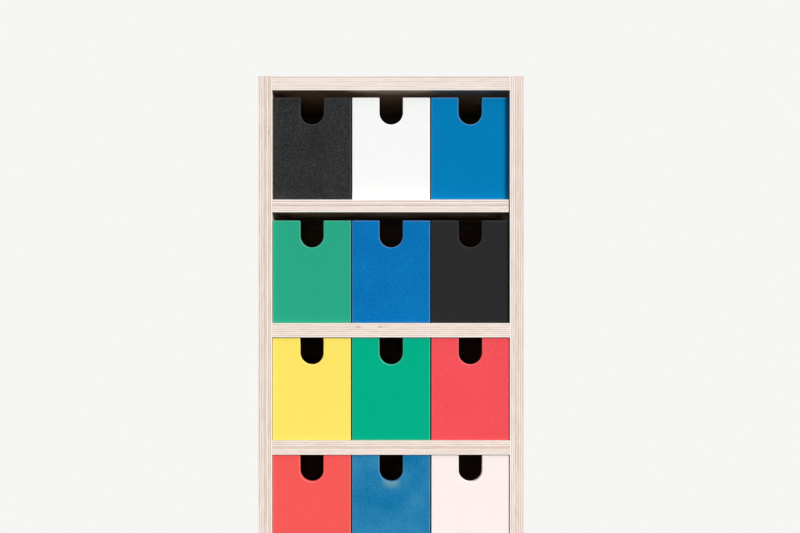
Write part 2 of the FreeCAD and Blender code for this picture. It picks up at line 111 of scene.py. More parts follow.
# %% Helpers for colours and nodes
MIX_FACTOR = 0
NUMBER_A, NUMBER_B, NUMBER_OUT = 2, 3, 0
COLOUR_A, COLOUR_B, COLOUR_OUT = 6, 7, 2


def paint(red, green, blue):
    """A screen colour as the linear colour that a socket takes."""
    linear = []
    for value in (red / 255, green / 255, blue / 255):
        linear.append(value / 12.92 if value <= 0.04045 else ((value + 0.055) / 1.055) ** 2.4)
    return (*linear, 1.0)


def add(tree, kind, inputs, **settings):
    """Adds a node, sets its options, and fills its sockets with values or links."""
    node = tree.nodes.new("ShaderNode" + kind)
    for option, value in settings.items():
        setattr(node, option, value)
    for socket, value in inputs.items():
        if isinstance(value, bpy.types.NodeSocket):
            tree.links.new(value, node.inputs[socket])
        else:
            node.inputs[socket].default_value = value
    return node


def math_step(tree, operation, first, second=0.0, third=0.0):
    return add(tree, "Math", {0: first, 1: second, 2: third}, operation=operation).outputs[0]


def vector_step(tree, operation, first, second):
    return add(tree, "VectorMath", {0: first, 1: second}, operation=operation).outputs[0]


def vector_length(tree, vector):
    return add(tree, "VectorMath", {0: vector}, operation="LENGTH").outputs["Value"]


def number_mix(tree, factor, first, second):
    """Blends two numbers, which are values or links."""
    sockets = {MIX_FACTOR: factor, NUMBER_A: first, NUMBER_B: second}
    return add(tree, "Mix", sockets, data_type="FLOAT").outputs[NUMBER_OUT]


def colour_mix(tree, factor, first, second):
    """Blends two colours, which are values or links."""
    sockets = {MIX_FACTOR: factor, COLOUR_A: first, COLOUR_B: second}
    return add(tree, "Mix", sockets, data_type="RGBA").outputs[COLOUR_OUT]


def value_range(tree, value, span, new_span):
    """Maps a value from one range to another, and stops at the ends."""
    low, high = span
    new_low, new_high = new_span
    sockets = {"Value": value, "From Min": low, "From Max": high, "To Min": new_low, "To Max": new_high}
    return add(tree, "MapRange", sockets).outputs[0]


def noise(tree, vector, scale, detail=2.0):
    sockets = {"Vector": vector, "Scale": scale, "Detail": detail}
    return add(tree, "TexNoise", sockets).outputs["Fac"]


def new_material(name):
    """An empty material, its tree, its shader and the coordinates of the piece that wears it."""
    material = bpy.data.materials.new(name)
    material.use_nodes = True
    tree = material.node_tree
    place = add(tree, "TexCoord", {}).outputs["Object"]
    return material, tree, tree.nodes["Principled BSDF"], place


def link_surface(tree, shader, colour, roughness):
    """Gives the shader a colour and a roughness that change over the surface."""
    tree.links.new(colour, shader.inputs["Base Color"])
    tree.links.new(roughness, shader.inputs["Roughness"])


def relief(tree, shader, height, depth, strength):
    """Fine relief that catches the light: a height map as a bump of a real depth."""
    bump = add(tree, "Bump", {"Height": height, "Distance": depth, "Strength": strength})
    tree.links.new(bump.outputs[0], shader.inputs["Normal"])


print("helpers ready")

# %% [markdown]
# ## Light
# A studio shot of pale furniture needs soft light from large sources, so that the bays fall into
# shadow without hard edges. A key lamp in front and to the right does most of the work. A broad one
# high in front gives the soft shadows under the shelves, and one behind lights the back. Area lamps
# would do, but they fade with distance. A sun lamp with a wide angle is as soft, and it lights the
# bottom of the tower as strongly as the top.

# %% Lamps
LAMP_ANGLE = math.radians(25)
BROAD_ANGLE = math.radians(65)
LAMPS = {
    "key": (Vector((3.8, -5.2, 3.2)), 3.08, LAMP_ANGLE),
    "above": (Vector((1.0, -3.2, 6.0)), 1.25, BROAD_ANGLE),
    "back": (Vector((-4.6, 5.0, 2.1)), 2.2, LAMP_ANGLE),
}

bpy.context.scene.view_settings.view_transform = "Standard"
middle = (CAD_LOW + CAD_HIGH) / 2
for lamp_name, (lamp_place, strength, angle) in LAMPS.items():
    turn = (middle - lamp_place).to_track_quat("-Z", "Y").to_euler()
    bpy.ops.object.light_add(type="SUN", location=lamp_place, rotation=turn)
    lamp = bpy.context.object
    lamp.name = lamp_name
    lamp.data.angle = angle
    lamp.data.energy = strength
print("lamps:", ", ".join(LAMPS))

# %% [markdown]
# ## Sky and floor
# An even sky fills the shadows, and it is dark below the horizon, where a room's floor would be.
# What the camera, mirrors and glass see of it is a pale backdrop instead, so its brightness can be
# chosen apart from its light. The floor is a disc that fades out at its rim. It keeps the shadow of
# the castors, and it throws little light up, so that the undersides of the shelves stay dark.

# %% Sky
SKY_LEVEL = 0.16
SKY_BELOW = 0.012
SKY_RISE = (0.02, 0.5)
SKY_WHITE = (1.0, 1.0, 1.0, 1.0)
BACKDROP = paint(246, 246, 244)


def seen_directly(tree):
    """One for what the camera sees, also in a mirror or through glass, and zero for plain light."""
    rays = add(tree, "LightPath", {}).outputs
    direct = math_step(tree, "MAXIMUM", rays["Is Camera Ray"], rays["Is Glossy Ray"])
    return math_step(tree, "MAXIMUM", direct, rays["Is Transmission Ray"])


world = bpy.data.worlds.new("studio")
bpy.context.scene.world = world
world.use_nodes = True
sky_tree = world.node_tree
light = sky_tree.nodes["Background"]
light.inputs["Color"].default_value = SKY_WHITE
direction = add(sky_tree, "TexCoord", {}).outputs["Generated"]
upward = add(sky_tree, "SeparateXYZ", {0: direction}).outputs["Z"]
sky_strength = value_range(sky_tree, upward, SKY_RISE, (SKY_BELOW, SKY_LEVEL))
sky_tree.links.new(sky_strength, light.inputs["Strength"])
backdrop = add(sky_tree, "Background", {"Color": BACKDROP, "Strength": 1.0})
sides = {0: seen_directly(sky_tree), 1: light.outputs[0], 2: backdrop.outputs[0]}
both = add(sky_tree, "MixShader", sides)
sky_tree.links.new(both.outputs[0], sky_tree.nodes["World Output"].inputs["Surface"])
print("sky from", SKY_BELOW, "to", SKY_LEVEL)

# %% Floor
FLOOR_RADIUS = 1.2
FLOOR_SOLID_RADIUS = 0.4
FLOOR_SIDES = 96
FLOOR_CLOUDS = 30.0
FLOOR_GREY = paint(238, 238, 236)
FLOOR_PALE = paint(243, 243, 241)
FLOOR_BOUNCE = paint(80, 80, 79)
FLOOR_ROUGHNESS = 0.8
FLOOR_GLOSS = 0.1
FADE_OUT = (1.0, 0.0)

bpy.ops.mesh.primitive_circle_add(vertices=FLOOR_SIDES, radius=FLOOR_RADIUS, fill_type="NGON")
floor = bpy.context.object
floor.name = "floor"
floor_paint, tree, shader, place = new_material("floor_paint")
pale_floor = colour_mix(tree, noise(tree, place, FLOOR_CLOUDS), FLOOR_GREY, FLOOR_PALE)
floor_colour = colour_mix(tree, seen_directly(tree), FLOOR_BOUNCE, pale_floor)
tree.links.new(floor_colour, shader.inputs["Base Color"])
shader.inputs["Roughness"].default_value = FLOOR_ROUGHNESS
shader.inputs["Specular IOR Level"].default_value = FLOOR_GLOSS
fade = value_range(tree, vector_length(tree, place), (FLOOR_SOLID_RADIUS, FLOOR_RADIUS), FADE_OUT)
tree.links.new(fade, shader.inputs["Alpha"])
floor.data.materials.append(floor_paint)
print("floor radius", FLOOR_RADIUS, "m")

# %% [markdown]
# ## Veneers
# Birch plywood is a stack of thin veneers whose grain turns a quarter at each layer, so its edge
# shows stripes: pale long fibres in one layer, a thinner and darker line of end grain in the next,
# and a fine glue line between. A painted stripe would only suit one edge. Here the whole thickness
# is described: each board's mesh carries an attribute that says how far through the board a point
# lies, and that tells which veneer it is in. Edges, faces and the walls of drilled holes then all
# show the right cut of the wood. A second attribute numbers the boards, so that no two look alike.

# %% Veneers of a board
X, Y, Z = 0, 1, 2
BOARD_SHIFT = Vector((0.31, 0.77, 0.53))
WAVE_SCALE = 11.0
VENEER_WAVE = 0.4
OUTER_KEEP = 0.4
VENEER_PAIR = 2.0
CROSS_MIDDLE = 1.5
CROSS_HALF = 0.36
SEEDS_PER_BOARD = 17.0
STREAK_SCALE = 40.0
STREAK_LANE = 3.7
STREAK_SPAN = (0.32, 0.68)
GLUE_SPAN = (0.0, 0.14)
GLUE_STREAK = (0.2, 1.0)
GLUE_STRENGTH = (0.2, 0.85)
FADE_IN = (0.0, 1.0)


def mesh_value(tree, name):
    """A number that the mesh carries at its vertices."""
    return add(tree, "Attribute", {}, attribute_name=name).outputs["Fac"]


def distance_from(tree, value, target):
    """How far a value is from a target, to either side."""
    return math_step(tree, "ABSOLUTE", math_step(tree, "SUBTRACT", value, target))


def streak_in_layer(tree, place, seed, thickness_axis):
    """A value that changes slowly along a veneer, but not through it."""
    weights = [STREAK_SCALE] * 3
    weights[thickness_axis] = 0.0
    run = add(tree, "VectorMath", {0: place, 1: weights}, operation="DOT_PRODUCT").outputs["Value"]
    lane = math_step(tree, "MULTIPLY", seed, STREAK_LANE)
    streak_place = add(tree, "CombineXYZ", {0: run, 1: lane}).outputs[0]
    return value_range(tree, noise(tree, streak_place, 1.0, detail=3.0), STREAK_SPAN, FADE_IN)


def veneer_layers(tree, place, veneers, thickness_axis):
    """What a point of a board lies in. Crosswise is one in each second veneer, glue is the strength
    of a glue line, and tone differs from veneer to veneer."""
    through = mesh_value(tree, "through")
    number = mesh_value(tree, "board_number")
    shift = add(tree, "VectorMath", {0: BOARD_SHIFT, "Scale": number}, operation="SCALE").outputs[0]
    own_place = vector_step(tree, "ADD", place, shift)

    wander = noise(tree, own_place, WAVE_SCALE)
    wave = math_step(tree, "MULTIPLY_ADD", wander, VENEER_WAVE, -VENEER_WAVE / 2)
    layer_place = math_step(tree, "MULTIPLY_ADD", through, veneers, wave)
    layer_place = math_step(tree, "MAXIMUM", layer_place, OUTER_KEEP)
    layer_place = math_step(tree, "MINIMUM", layer_place, veneers - OUTER_KEEP)
    pair_place = math_step(tree, "MODULO", layer_place, VENEER_PAIR)
    from_cross = distance_from(tree, pair_place, CROSS_MIDDLE)
    from_glue = distance_from(tree, from_cross, CROSS_HALF)

    layer = math_step(tree, "FLOOR", layer_place)
    seed = math_step(tree, "MULTIPLY_ADD", number, SEEDS_PER_BOARD, layer)
    streak = streak_in_layer(tree, own_place, seed, thickness_axis)
    glue_line = value_range(tree, from_glue, GLUE_SPAN, FADE_OUT)
    glue_strength = value_range(tree, streak, GLUE_STREAK, GLUE_STRENGTH)
    return {
        "through": through,
        "place": own_place,
        "crosswise": math_step(tree, "LESS_THAN", from_cross, CROSS_HALF),
        "glue": math_step(tree, "MULTIPLY", glue_line, glue_strength),
        "tone": add(tree, "TexWhiteNoise", {"W": seed}, noise_dimensions="1D").outputs["Value"],
        "streak": streak,
    }


print("veneers: cross ones fill", 2 * CROSS_HALF, "of their layer")

# %% [markdown]
# ## Colour of the layers
# Each veneer gets a tone between pale birch and end grain. A few come out deep brown, as in a real
# stack, and some boards have dark cross veneers in the middle. The outermost veneers show as pale
# rims on the edge, and the skin of the board has the warmer tone of a sanded face.

# %% Colour of the layers
PALE_BIRCH = paint(255, 247, 240)
LIGHT_END_GRAIN = paint(241, 221, 208)
SOFT_END_GRAIN = paint(232, 201, 184)
DARK_END_GRAIN = paint(220, 194, 179)
DEEP_BIRCH = paint(198, 169, 149)
RIM_BIRCH = paint(255, 249, 241)
OUTER_BIRCH = paint(243, 231, 223)
FACE_BIRCH = paint(246, 231, 218)
GLUE_BROWN = paint(166, 132, 110)
CROSS_TONE = 0.65
STREAK_TONE = 0.25
LAYER_TONE = 0.1
DEEP_TONES = (0.86, 0.9)
DEEP_SHARE = 0.5
CORE_VENEERS = 1.5
CORE_SHARE = (0.35, 0.65)
MIDDLE = 0.5
SKIN_SHARE = 0.004


def darkened(tree, wood, value, span, share, colour):
    """Turns wood to a colour where a value rises through a span, at most by a share."""
    return colour_mix(tree, value_range(tree, value, span, (0.0, share)), wood, colour)


def dark_core_share(tree, layers, from_middle, veneers):
    """How much of the glue's brown the cross veneers in the middle of a board have."""
    core = math_step(tree, "LESS_THAN", from_middle, CORE_VENEERS / veneers)
    core_veneers = math_step(tree, "MULTIPLY", core, layers["crosswise"])
    share = value_range(tree, layers["streak"], FADE_IN, CORE_SHARE)
    return math_step(tree, "MULTIPLY", core_veneers, share)


def layered_colour(tree, layers, veneers, end_grain, both_rims, dark_core):
    """The colour of the stack of veneers, before the grain is drawn on it."""
    through = layers["through"]
    from_middle = distance_from(tree, through, MIDDLE)
    layer_tone = math_step(tree, "MULTIPLY", layers["tone"], LAYER_TONE)
    own_tone = math_step(tree, "MULTIPLY_ADD", layers["streak"], STREAK_TONE, layer_tone)
    end_grain_share = math_step(tree, "MULTIPLY_ADD", layers["crosswise"], CROSS_TONE, own_tone)
    wood = colour_mix(tree, end_grain_share, PALE_BIRCH, end_grain)
    wood = darkened(tree, wood, layers["tone"], DEEP_TONES, DEEP_SHARE, DEEP_BIRCH)
    if dark_core:
        wood = colour_mix(tree, dark_core_share(tree, layers, from_middle, veneers), wood, GLUE_BROWN)
    inner_rim = math_step(tree, "LESS_THAN", through, 1 / veneers)
    outer_rim = math_step(tree, "GREATER_THAN", through, 1 - 1 / veneers)
    skin = math_step(tree, "GREATER_THAN", from_middle, MIDDLE - SKIN_SHARE)
    wood = colour_mix(tree, inner_rim, wood, RIM_BIRCH)
    wood = colour_mix(tree, outer_rim, wood, RIM_BIRCH if both_rims else OUTER_BIRCH)
    return colour_mix(tree, skin, wood, FACE_BIRCH)


print("deep veneers: about", round(1 - sum(DEEP_TONES) / 2, 2), "of all")

# %% [markdown]
# ## Grain
# Fibres are noise that is drawn out along the grain, and the flame figure of a peeled veneer is the
# same at a larger scale. Noise at a scale of its own for each axis gives both, with no picture. Small
# dark specks and a few knots break the evenness. A tint lies over everything: a tan tone for the thin
# plywood of the boxes, and painted shade on the walls of drilled holes.

# %% Birch plywood material
FIBRE_SCALES = (900.0, 10.0, 1900.0)
FIBRE_SPAN = (0.54, 0.72)
FIBRE_SHARE = 0.45
FIGURE_SCALES = (26.0, 2.6, 150.0)
FLAME_SPAN = (0.45, 0.75)
FLAME_SHARE = 0.2
SPECK_SCALE = 9.0
SPECK_SPAN = (0.74, 0.80)
SPECK_SHARE = 0.6
PATCH_SPAN = (0.3, 1.0)
KNOT_SHARE = 0.7
MARK_BROWN = paint(120, 84, 58)
NOISE_SPAN = (0.3, 0.7)
WOOD_ROUGHNESS = (0.66, 0.82)
WOOD_GLOSS = 0.04
WOOD_RELIEF = 0.12 * MM
WOOD_RELIEF_STRENGTH = 0.5


def grain_noise(tree, place, scales, along_axis, thickness_axis, scale=1.0, detail=3.0):
    """Noise with a scale of its own across the grain, along it and through the veneer."""
    across, along, through = scales
    by_axis = [across] * 3
    by_axis[along_axis] = along
    by_axis[thickness_axis] = through
    return noise(tree, vector_step(tree, "MULTIPLY", place, by_axis), scale, detail)


def patch(tree, place, centre, reach):
    """One at a spot on the object, and zero beyond its reach along each axis."""
    offset = vector_step(tree, "SUBTRACT", place, centre)
    distance = vector_length(tree, vector_step(tree, "DIVIDE", offset, reach))
    return value_range(tree, distance, PATCH_SPAN, FADE_OUT)


def birch_plywood(name, veneers, thickness_axis, grain_axis, end_grain=SOFT_END_GRAIN,
                  both_rims=True, dark_core=False, tint_or_shade=None, knots=()):
    """Plywood with its layers across one axis and the grain of its faces along another. The rim
    towards the inside of the case is pale, or both are. A dark core darkens the cross veneers in the
    middle. A tint is a share and a colour: the boxes' real tan tone, or painted shade for the walls of
    holes. A knot is a place and how far it reaches."""
    cross_axis = X + Y + Z - thickness_axis - grain_axis
    material, tree, shader, place = new_material(name)
    layers = veneer_layers(tree, place, veneers, thickness_axis)
    own_place = layers["place"]
    along = grain_noise(tree, own_place, FIBRE_SCALES, grain_axis, thickness_axis)
    across = grain_noise(tree, own_place, FIBRE_SCALES, cross_axis, thickness_axis)
    fibres = number_mix(tree, layers["crosswise"], along, across)
    figure = (tree, own_place, FIGURE_SCALES, grain_axis, thickness_axis)
    flame = grain_noise(*figure, detail=4.0)
    specks = grain_noise(*figure, scale=SPECK_SCALE, detail=2.0)

    wood = layered_colour(tree, layers, veneers, end_grain, both_rims, dark_core)
    wood = darkened(tree, wood, flame, FLAME_SPAN, FLAME_SHARE, DEEP_BIRCH)
    wood = darkened(tree, wood, fibres, FIBRE_SPAN, FIBRE_SHARE, DEEP_BIRCH)
    wood = colour_mix(tree, layers["glue"], wood, GLUE_BROWN)
    wood = darkened(tree, wood, specks, SPECK_SPAN, SPECK_SHARE, MARK_BROWN)
    for centre, reach in knots:
        dark = math_step(tree, "MULTIPLY", patch(tree, place, centre, reach), KNOT_SHARE)
        wood = colour_mix(tree, dark, wood, MARK_BROWN)
    if tint_or_shade:
        tint_or_shade_share, tint_or_shade_colour = tint_or_shade
        wood = colour_mix(tree, tint_or_shade_share, wood, tint_or_shade_colour)
    link_surface(tree, shader, wood, value_range(tree, fibres, NOISE_SPAN, WOOD_ROUGHNESS))
    shader.inputs["Specular IOR Level"].default_value = WOOD_GLOSS
    height = math_step(tree, "SUBTRACT", fibres, layers["glue"])
    relief(tree, shader, height, WOOD_RELIEF, WOOD_RELIEF_STRENGTH)
    return material


print("plywood recipe ready")

# %% Plywood of the case
CASE_VENEERS = 13
THIN_VENEERS = 11
# Painted shade: the walls of drilled holes are turned half-way to this brown, so they look shaded
# inside.
BORE_PAINTED_SHADE = (0.5, paint(122, 90, 64))
FRONT_Y = CAD_LOW.y
SIDE_KNOTS = [(Vector((-0.1559, FRONT_Y, 0.781)), Vector((0.6, 4.0, 5.0)) * MM)]
SHELF_KNOTS = [
    (Vector((-0.0422, FRONT_Y, 0.5333)), Vector((4.5, 4.0, 1.0)) * MM),
    (Vector((-0.0141, FRONT_Y, 0.5333)), Vector((3.5, 4.0, 1.0)) * MM),
]
SIDE_BIRCH = birch_plywood(
    "side_birch", CASE_VENEERS, X, Z, DARK_END_GRAIN, both_rims=False, knots=SIDE_KNOTS,
)
CORED_BIRCH = birch_plywood("cored_birch", CASE_VENEERS, X, Z, both_rims=False, dark_core=True)
SIDE_BORE = birch_plywood("side_bore", CASE_VENEERS, X, Z, DARK_END_GRAIN, tint_or_shade=BORE_PAINTED_SHADE)
BACK_BIRCH = birch_plywood("back_birch", CASE_VENEERS, Y, Z, both_rims=False)
BACK_BORE = birch_plywood("back_bore", CASE_VENEERS, Y, Z, tint_or_shade=BORE_PAINTED_SHADE)
END_BIRCH = birch_plywood("end_birch", CASE_VENEERS, Z, X, LIGHT_END_GRAIN, both_rims=False)
SHELF_BIRCH = birch_plywood("shelf_birch", CASE_VENEERS, Z, X, knots=SHELF_KNOTS)
SHELF_BORE = birch_plywood("shelf_bore", CASE_VENEERS, Z, X, tint_or_shade=BORE_PAINTED_SHADE)
THIN_SHELF_BIRCH = birch_plywood(
    "thin_shelf_birch", THIN_VENEERS, Z, X, LIGHT_END_GRAIN, dark_core=True,
)
for plywood in (SIDE_BIRCH, CORED_BIRCH, BACK_BIRCH, END_BIRCH, SHELF_BIRCH, THIN_SHELF_BIRCH):
    print("plywood:", plywood.name, len(plywood.node_tree.nodes), "nodes")

# %% [markdown]
# ## Boards of the case
# A real board is sawn, drilled and then sanded along its edges, and the same order works here: a
# cube at the size of the board, a boolean cut for the holes, and a small rounded bevel on every
# sharp edge. The cut hands the drill's material to the walls of the hole, a darker brown that is
# painted shade inside the holes. The peg holes are drilled by one rod that two array modifiers
# repeat over the grid. For the hidden holes of the joints, a copy of the dowels themselves does the
# cutting. Last, each vertex gets the two numbers that the plywood reads.

# %% Tools for boards
SHARP_ANGLE = math.radians(40)
FLAT_WEIGHT = 100


def alone(obj):
    """Makes one object the only one that is selected, and the active one."""
    bpy.ops.object.select_all(action="DESELECT")
    obj.select_set(True)
    bpy.context.view_layer.objects.active = obj


def cube_between(name, low, high):
    """A cube primitive at the size and place of a box, with its place in its mesh."""
    bpy.ops.object.select_all(action="DESELECT")
    bpy.ops.mesh.primitive_cube_add(size=1.0, location=(low + high) / 2, scale=high - low)
    cube = bpy.context.object
    cube.name = name
    cube.data.name = name
    bpy.ops.object.transform_apply(location=True, rotation=True, scale=True)
    return cube


def finish_modifiers(piece):
    """Applies every modifier of a piece, in order."""
    alone(piece)
    for modifier in list(piece.modifiers):
        bpy.ops.object.modifier_apply(modifier=modifier.name)


def cut_away(piece, cutter):
    """Cuts one piece by another with a boolean, and deletes the cutter."""
    cut = piece.modifiers.new("cut", "BOOLEAN")
    cut.operation = "DIFFERENCE"
    cut.solver = "EXACT"
    cut.material_mode = "TRANSFER"
    cut.object = cutter
    finish_modifiers(piece)
    bpy.data.objects.remove(cutter)


def round_edges(piece, width, segments, arris_slot=0):
    """Rounds every sharp edge, and keeps the large faces level in their shading. The new faces take
    the given material slot."""
    bevel = piece.modifiers.new("arris", "BEVEL")
    bevel.width = width
    bevel.segments = segments
    bevel.limit_method = "ANGLE"
    bevel.angle_limit = SHARP_ANGLE
    bevel.material = arris_slot
    level = piece.modifiers.new("level", "WEIGHTED_NORMAL")
    level.weight = FLAT_WEIGHT
    alone(piece)
    bpy.ops.object.shade_smooth()
    finish_modifiers(piece)


def measure_layers(board, thickness_axis, low, high, number):
    """Writes at each vertex how far through the board it lies, from the side towards the middle of
    the tower, and the number of the board."""
    through = board.data.attributes.new("through", "FLOAT", "POINT")
    own_number = board.data.attributes.new("board_number", "FLOAT", "POINT")
    near, far = low[thickness_axis], high[thickness_axis]
    if near + far < 2 * middle[thickness_axis]:
        near, far = far, near
    for vertex in board.data.vertices:
        through.data[vertex.index].value = (vertex.co[thickness_axis] - near) / (far - near)
        own_number.data[vertex.index].value = number


print("board tools ready")

# %% Drills
PEG_RADIUS = 8.0 * MM
PEG_PITCH = 75.0 * MM
PEG_TOP_INSET = 54.0 * MM
PEG_ROWS = 10
PEG_COLUMNS = 4
PEG_SIDES = 32
CUTTER_LENGTHS = 3
WELD_GAP = 0.001 * MM


def peg_drill(low, high, thickness_axis):
    """A rod for each peg hole, on the grid, through a board that stands across X or Y."""
    row_axis = Y if thickness_axis == X else X
    start = (low + high) / 2
    start[row_axis] = -(PEG_COLUMNS - 1) / 2 * PEG_PITCH
    start.z = CAD_HIGH.z - PEG_TOP_INSET
    turn = (0, QUARTER_TURN, 0) if thickness_axis == X else (QUARTER_TURN, 0, 0)
    length = CUTTER_LENGTHS * (high - low)[thickness_axis]
    bpy.ops.object.select_all(action="DESELECT")
    bpy.ops.mesh.primitive_cylinder_add(
        vertices=PEG_SIDES, radius=PEG_RADIUS, depth=length, location=start, rotation=turn,
    )
    drill = bpy.context.object
    bpy.ops.object.transform_apply(location=True, rotation=True, scale=True)
    for axis, count, step in ((row_axis, PEG_COLUMNS, PEG_PITCH), (Z, PEG_ROWS, -PEG_PITCH)):
        grid = drill.modifiers.new("grid", "ARRAY")
        grid.count = count
        grid.use_relative_offset = False
        grid.use_constant_offset = True
        offset = [0.0, 0.0, 0.0]
        offset[axis] = step
        grid.constant_offset_displace = offset
    finish_modifiers(drill)
    return drill


def merged_copy(node):
    """A copy of a CAD node whose loose triangles are merged, to cut with."""
    copy = bpy.data.objects.new(node + "_drill", frame["nodes"][node].data.copy())
    bpy.context.scene.collection.objects.link(copy)
    alone(copy)
    bpy.ops.object.mode_set(mode="EDIT")
    bpy.ops.mesh.select_all(action="SELECT")
    bpy.ops.mesh.remove_doubles(threshold=WELD_GAP)
    bpy.ops.object.mode_set(mode="OBJECT")
    copy.data.materials.clear()
    return copy


print("peg holes on each pegboard:", PEG_ROWS * PEG_COLUMNS)

# %% Model the boards
ROWS = 5
BOARD_ROUND = 0.5 * MM
BOARD_SEGMENTS = 2
SHELVES = [f"shelf_{i}" for i in range(1, ROWS)]
CROSS_BOARDS = ["top_panel", *SHELVES, "bottom_panel"]
BOARDS_OF_CASE = {
    "left_side_pegboard": (X, SIDE_BIRCH, SIDE_BORE),
    "right_side_pegboard": (X, CORED_BIRCH, SIDE_BORE),
    "back_pegboard": (Y, BACK_BIRCH, BACK_BORE),
}
for node in CROSS_BOARDS:
    BOARDS_OF_CASE[node] = (Z, SHELF_BIRCH if node in SHELVES else END_BIRCH, SHELF_BORE)
BOARDS_OF_CASE["shelf_1"] = (Z, THIN_SHELF_BIRCH, SHELF_BORE)


def case_board(node, number):
    """One plywood board of the case: sawn, drilled, rounded and finished."""
    low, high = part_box(node)
    thickness_axis, finish, bore = BOARDS_OF_CASE[node]
    board = cube_between(node + "_board", low, high)
    board.data.materials.append(finish)
    drills = [merged_copy("panel_dowels")]
    if node.endswith("pegboard"):
        drills.append(peg_drill(low, high, thickness_axis))
    for drill in drills:
        drill.data.materials.append(bore)
        cut_away(board, drill)
    round_edges(board, BOARD_ROUND, BOARD_SEGMENTS)
    measure_layers(board, thickness_axis, low, high, number)
    return board


for number, node in enumerate(BOARDS_OF_CASE):
    board = case_board(node, number)
    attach(board, "tower")
    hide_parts(node)
    print(board.name, len(board.data.polygons), "faces")

# %% [markdown]
# ## Boxes
# Behind each coloured front is an open box of thinner plywood in a tan tone: two sides, a back
# between them and a base. One box is modelled from four boards that are joined into one mesh, and
# the other fourteen are copies that are moved to their places and get board numbers of their own,
# so their grain differs.

# %% Model one box
BOX_SIDE = 9.0 * MM
BOX_BASE = 6.0 * MM
GLUE_LINE = 0.15 * MM
BOX_ROUND = 0.4 * MM
BOX_VENEERS = 7
BASE_VENEERS = 5
TAN = (0.3, paint(206, 160, 112))
BOX_SIDE_BIRCH = birch_plywood("box_side_birch", BOX_VENEERS, X, Y, tint_or_shade=TAN)
BOX_BACK_BIRCH = birch_plywood("box_back_birch", BOX_VENEERS, Y, X, tint_or_shade=TAN)
BOX_BASE_BIRCH = birch_plywood("box_base_birch", BASE_VENEERS, Z, Y, tint_or_shade=TAN)
COLUMNS = ("left", "middle", "right")
DRAWERS = [f"drawer_{row}_{column}" for row in range(1, ROWS + 1) for column in COLUMNS]


def box_boards(low, high):
    """The corners, thickness axis and plywood of the four boards of a box."""
    inner_left = low.x + BOX_SIDE
    inner_right = high.x - BOX_SIDE
    inner_back = high.y - BOX_SIDE
    back_low = Vector((inner_left + GLUE_LINE, inner_back, low.z))
    back_high = Vector((inner_right - GLUE_LINE, high.y, high.z))
    base_low = Vector((back_low.x, low.y, low.z))
    base_high = Vector((back_high.x, inner_back - GLUE_LINE, low.z + BOX_BASE))
    return (
        (low, Vector((inner_left, high.y, high.z)), X, BOX_SIDE_BIRCH),
        (Vector((inner_right, low.y, low.z)), high, X, BOX_SIDE_BIRCH),
        (back_low, back_high, Y, BOX_BACK_BIRCH),
        (base_low, base_high, Z, BOX_BASE_BIRCH),
    )


def plywood_box(drawer):
    """The first box, modelled at its place in the tower."""
    boards = []
    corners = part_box(drawer + "_box")
    for number, (low, high, thickness_axis, finish) in enumerate(box_boards(*corners)):
        board = cube_between(drawer + "_box_boards", low, high)
        board.data.materials.append(finish)
        round_edges(board, BOX_ROUND, BOARD_SEGMENTS)
        measure_layers(board, thickness_axis, low, high, number)
        boards.append(board)
    bpy.ops.object.select_all(action="DESELECT")
    for board in boards:
        board.select_set(True)
    bpy.context.view_layer.objects.active = boards[0]
    bpy.ops.object.join()
    return boards[0]


first_box = plywood_box(DRAWERS[0])
print("box:", len(first_box.data.polygons), "faces")

# %% Copy the box to every place
BOARDS_IN_BOX = 4


def copy_moved(piece, name, shift):
    """A copy of a piece with its own mesh, and with its new place in that mesh."""
    alone(piece)
    bpy.ops.object.duplicate()
    copy = bpy.context.object
    copy.name = name
    copy.data.name = name
    bpy.ops.transform.translate(value=shift)
    bpy.ops.object.transform_apply(location=True, rotation=True, scale=True)
    return copy


def place_between(drawer, suffix):
    """How far a drawer's node lies from the same node of the first drawer."""
    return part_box(drawer + suffix)[0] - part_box(DRAWERS[0] + suffix)[0]


boxes = {DRAWERS[0]: first_box}
for number, drawer in enumerate(DRAWERS[1:], 1):
    boxes[drawer] = copy_moved(first_box, drawer + "_box_boards", place_between(drawer, "_box"))
    for entry in boxes[drawer].data.attributes["board_number"].data:
        entry.value += number * BOARDS_IN_BOX
for drawer, box in boxes.items():
    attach(box, drawer)
    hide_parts(drawer + "_box")
print("boxes:", len(boxes))

# %% [markdown]
# ## Dyed board
# The fronts are of fibreboard that is dyed right through, so a cut edge has the colour of the face.
# Close up, such a board is flecked with fibres that took more or less dye: strongly on some colours
# and hardly at all on others. A fine noise picks a colour between a dark and a pale fleck, and a
# broad one adds the faint clouds of a large sheet. Along the rounded arris the colour is paler, a
# painted highlight, which is a second, lighter version of the same material. Below one notch,
# fingers have worn the dye.

# %% Dyed board recipe
FLECK_SCALE = 650.0
CLOUD_SCALE = 24.0
SHADE_SPAN = (0.36, 0.64)
DYED_ROUGHNESS = (0.62, 0.78)
DYED_GLOSS = 0.02
FLECK_RELIEF = 0.05 * MM
FLECK_RELIEF_STRENGTH = 0.4
WORN_SHARE = 0.4
WORN_COLOUR = paint(150, 182, 165)
WORN_REACH = Vector((14.0, 20.0, 10.0)) * MM


